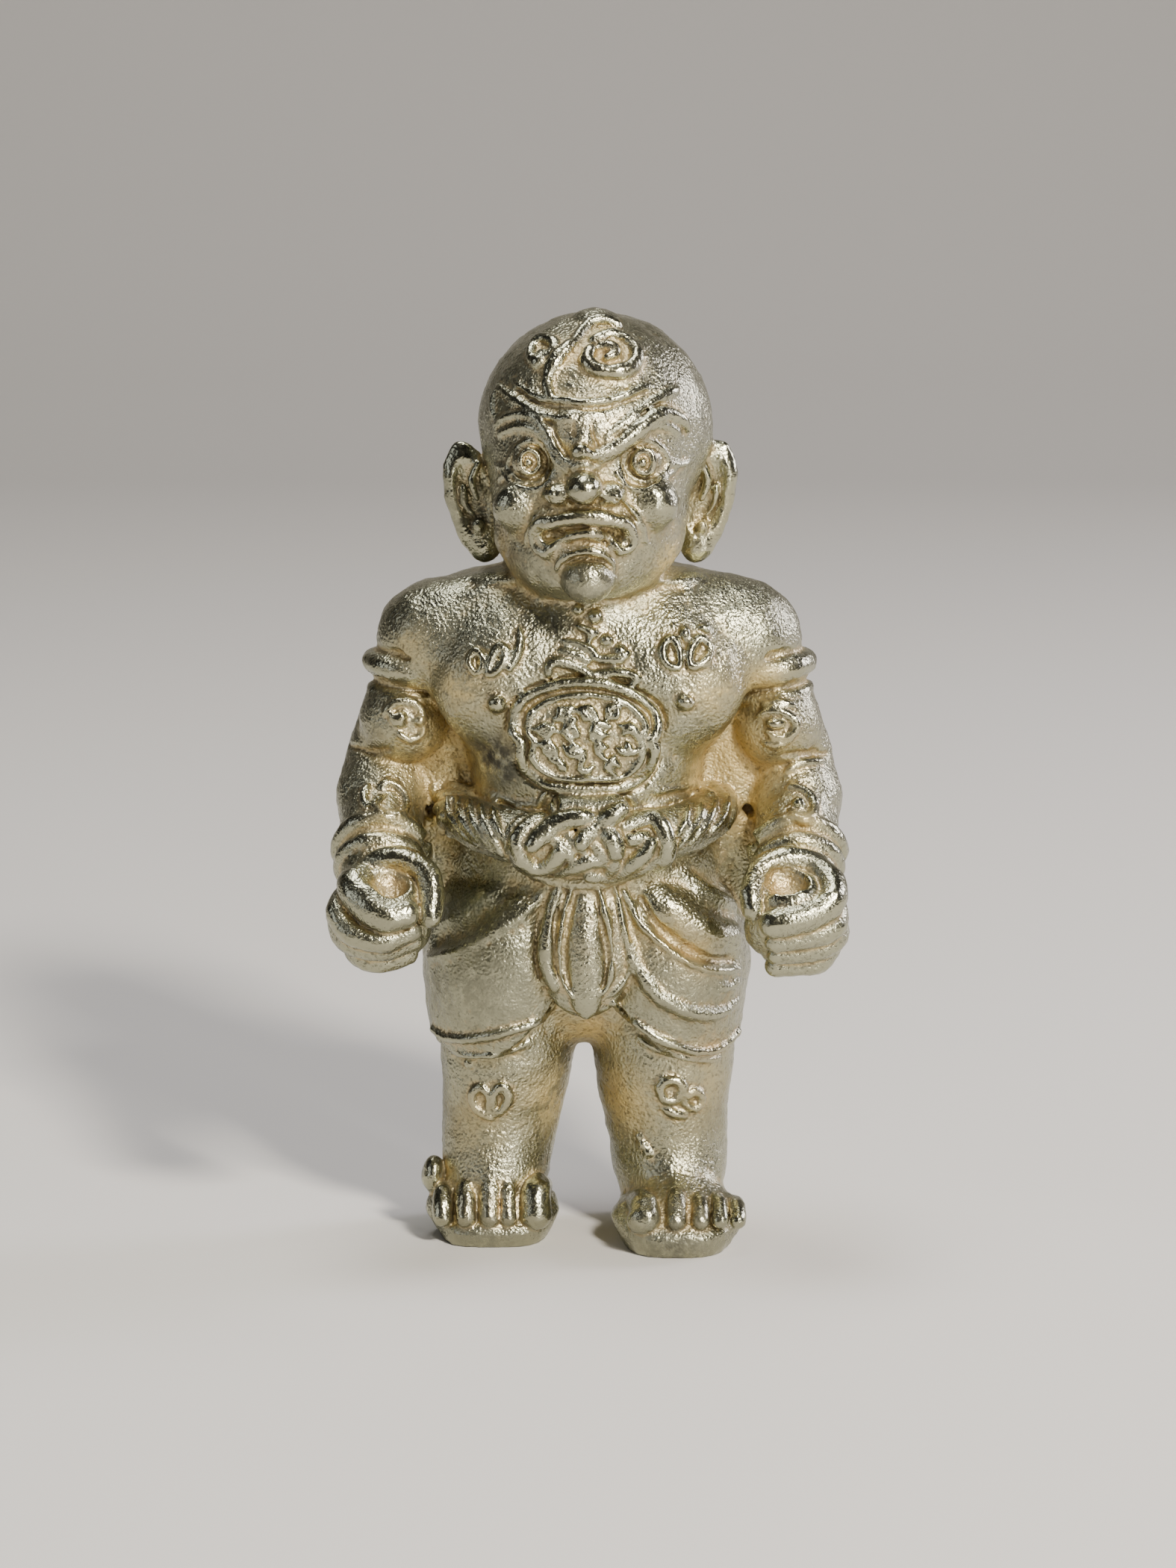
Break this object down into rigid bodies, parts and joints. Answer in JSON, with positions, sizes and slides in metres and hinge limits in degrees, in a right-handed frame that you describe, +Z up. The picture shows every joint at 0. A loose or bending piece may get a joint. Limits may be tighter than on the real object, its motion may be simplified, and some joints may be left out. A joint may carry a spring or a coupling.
{
  "type": "standing guardian amulet figure",
  "caption": "Small solid cast guardian figure: bald scowling head, clenched fists, armlets, knotted rope belt, draped loincloth and bare feet, standing on its soles.",
  "frame": {"origin": "centre of the figure's outline, on the plane of its soles", "axes": "+Z up from the soles to the crown, the face looks along -Y, +X is the side of the figure's own left arm"},
  "size_m": [0.0218, 0.0134, 0.04],
  "materials": {
    "nickel_silver": "bare cast nickel silver, polished on the high points, grainy and tarnished yellow to dark in the hollows"
  },
  "bodies": {
    "root": {"guardian_figure": "nickel_silver"}
  },
  "joints": []
}
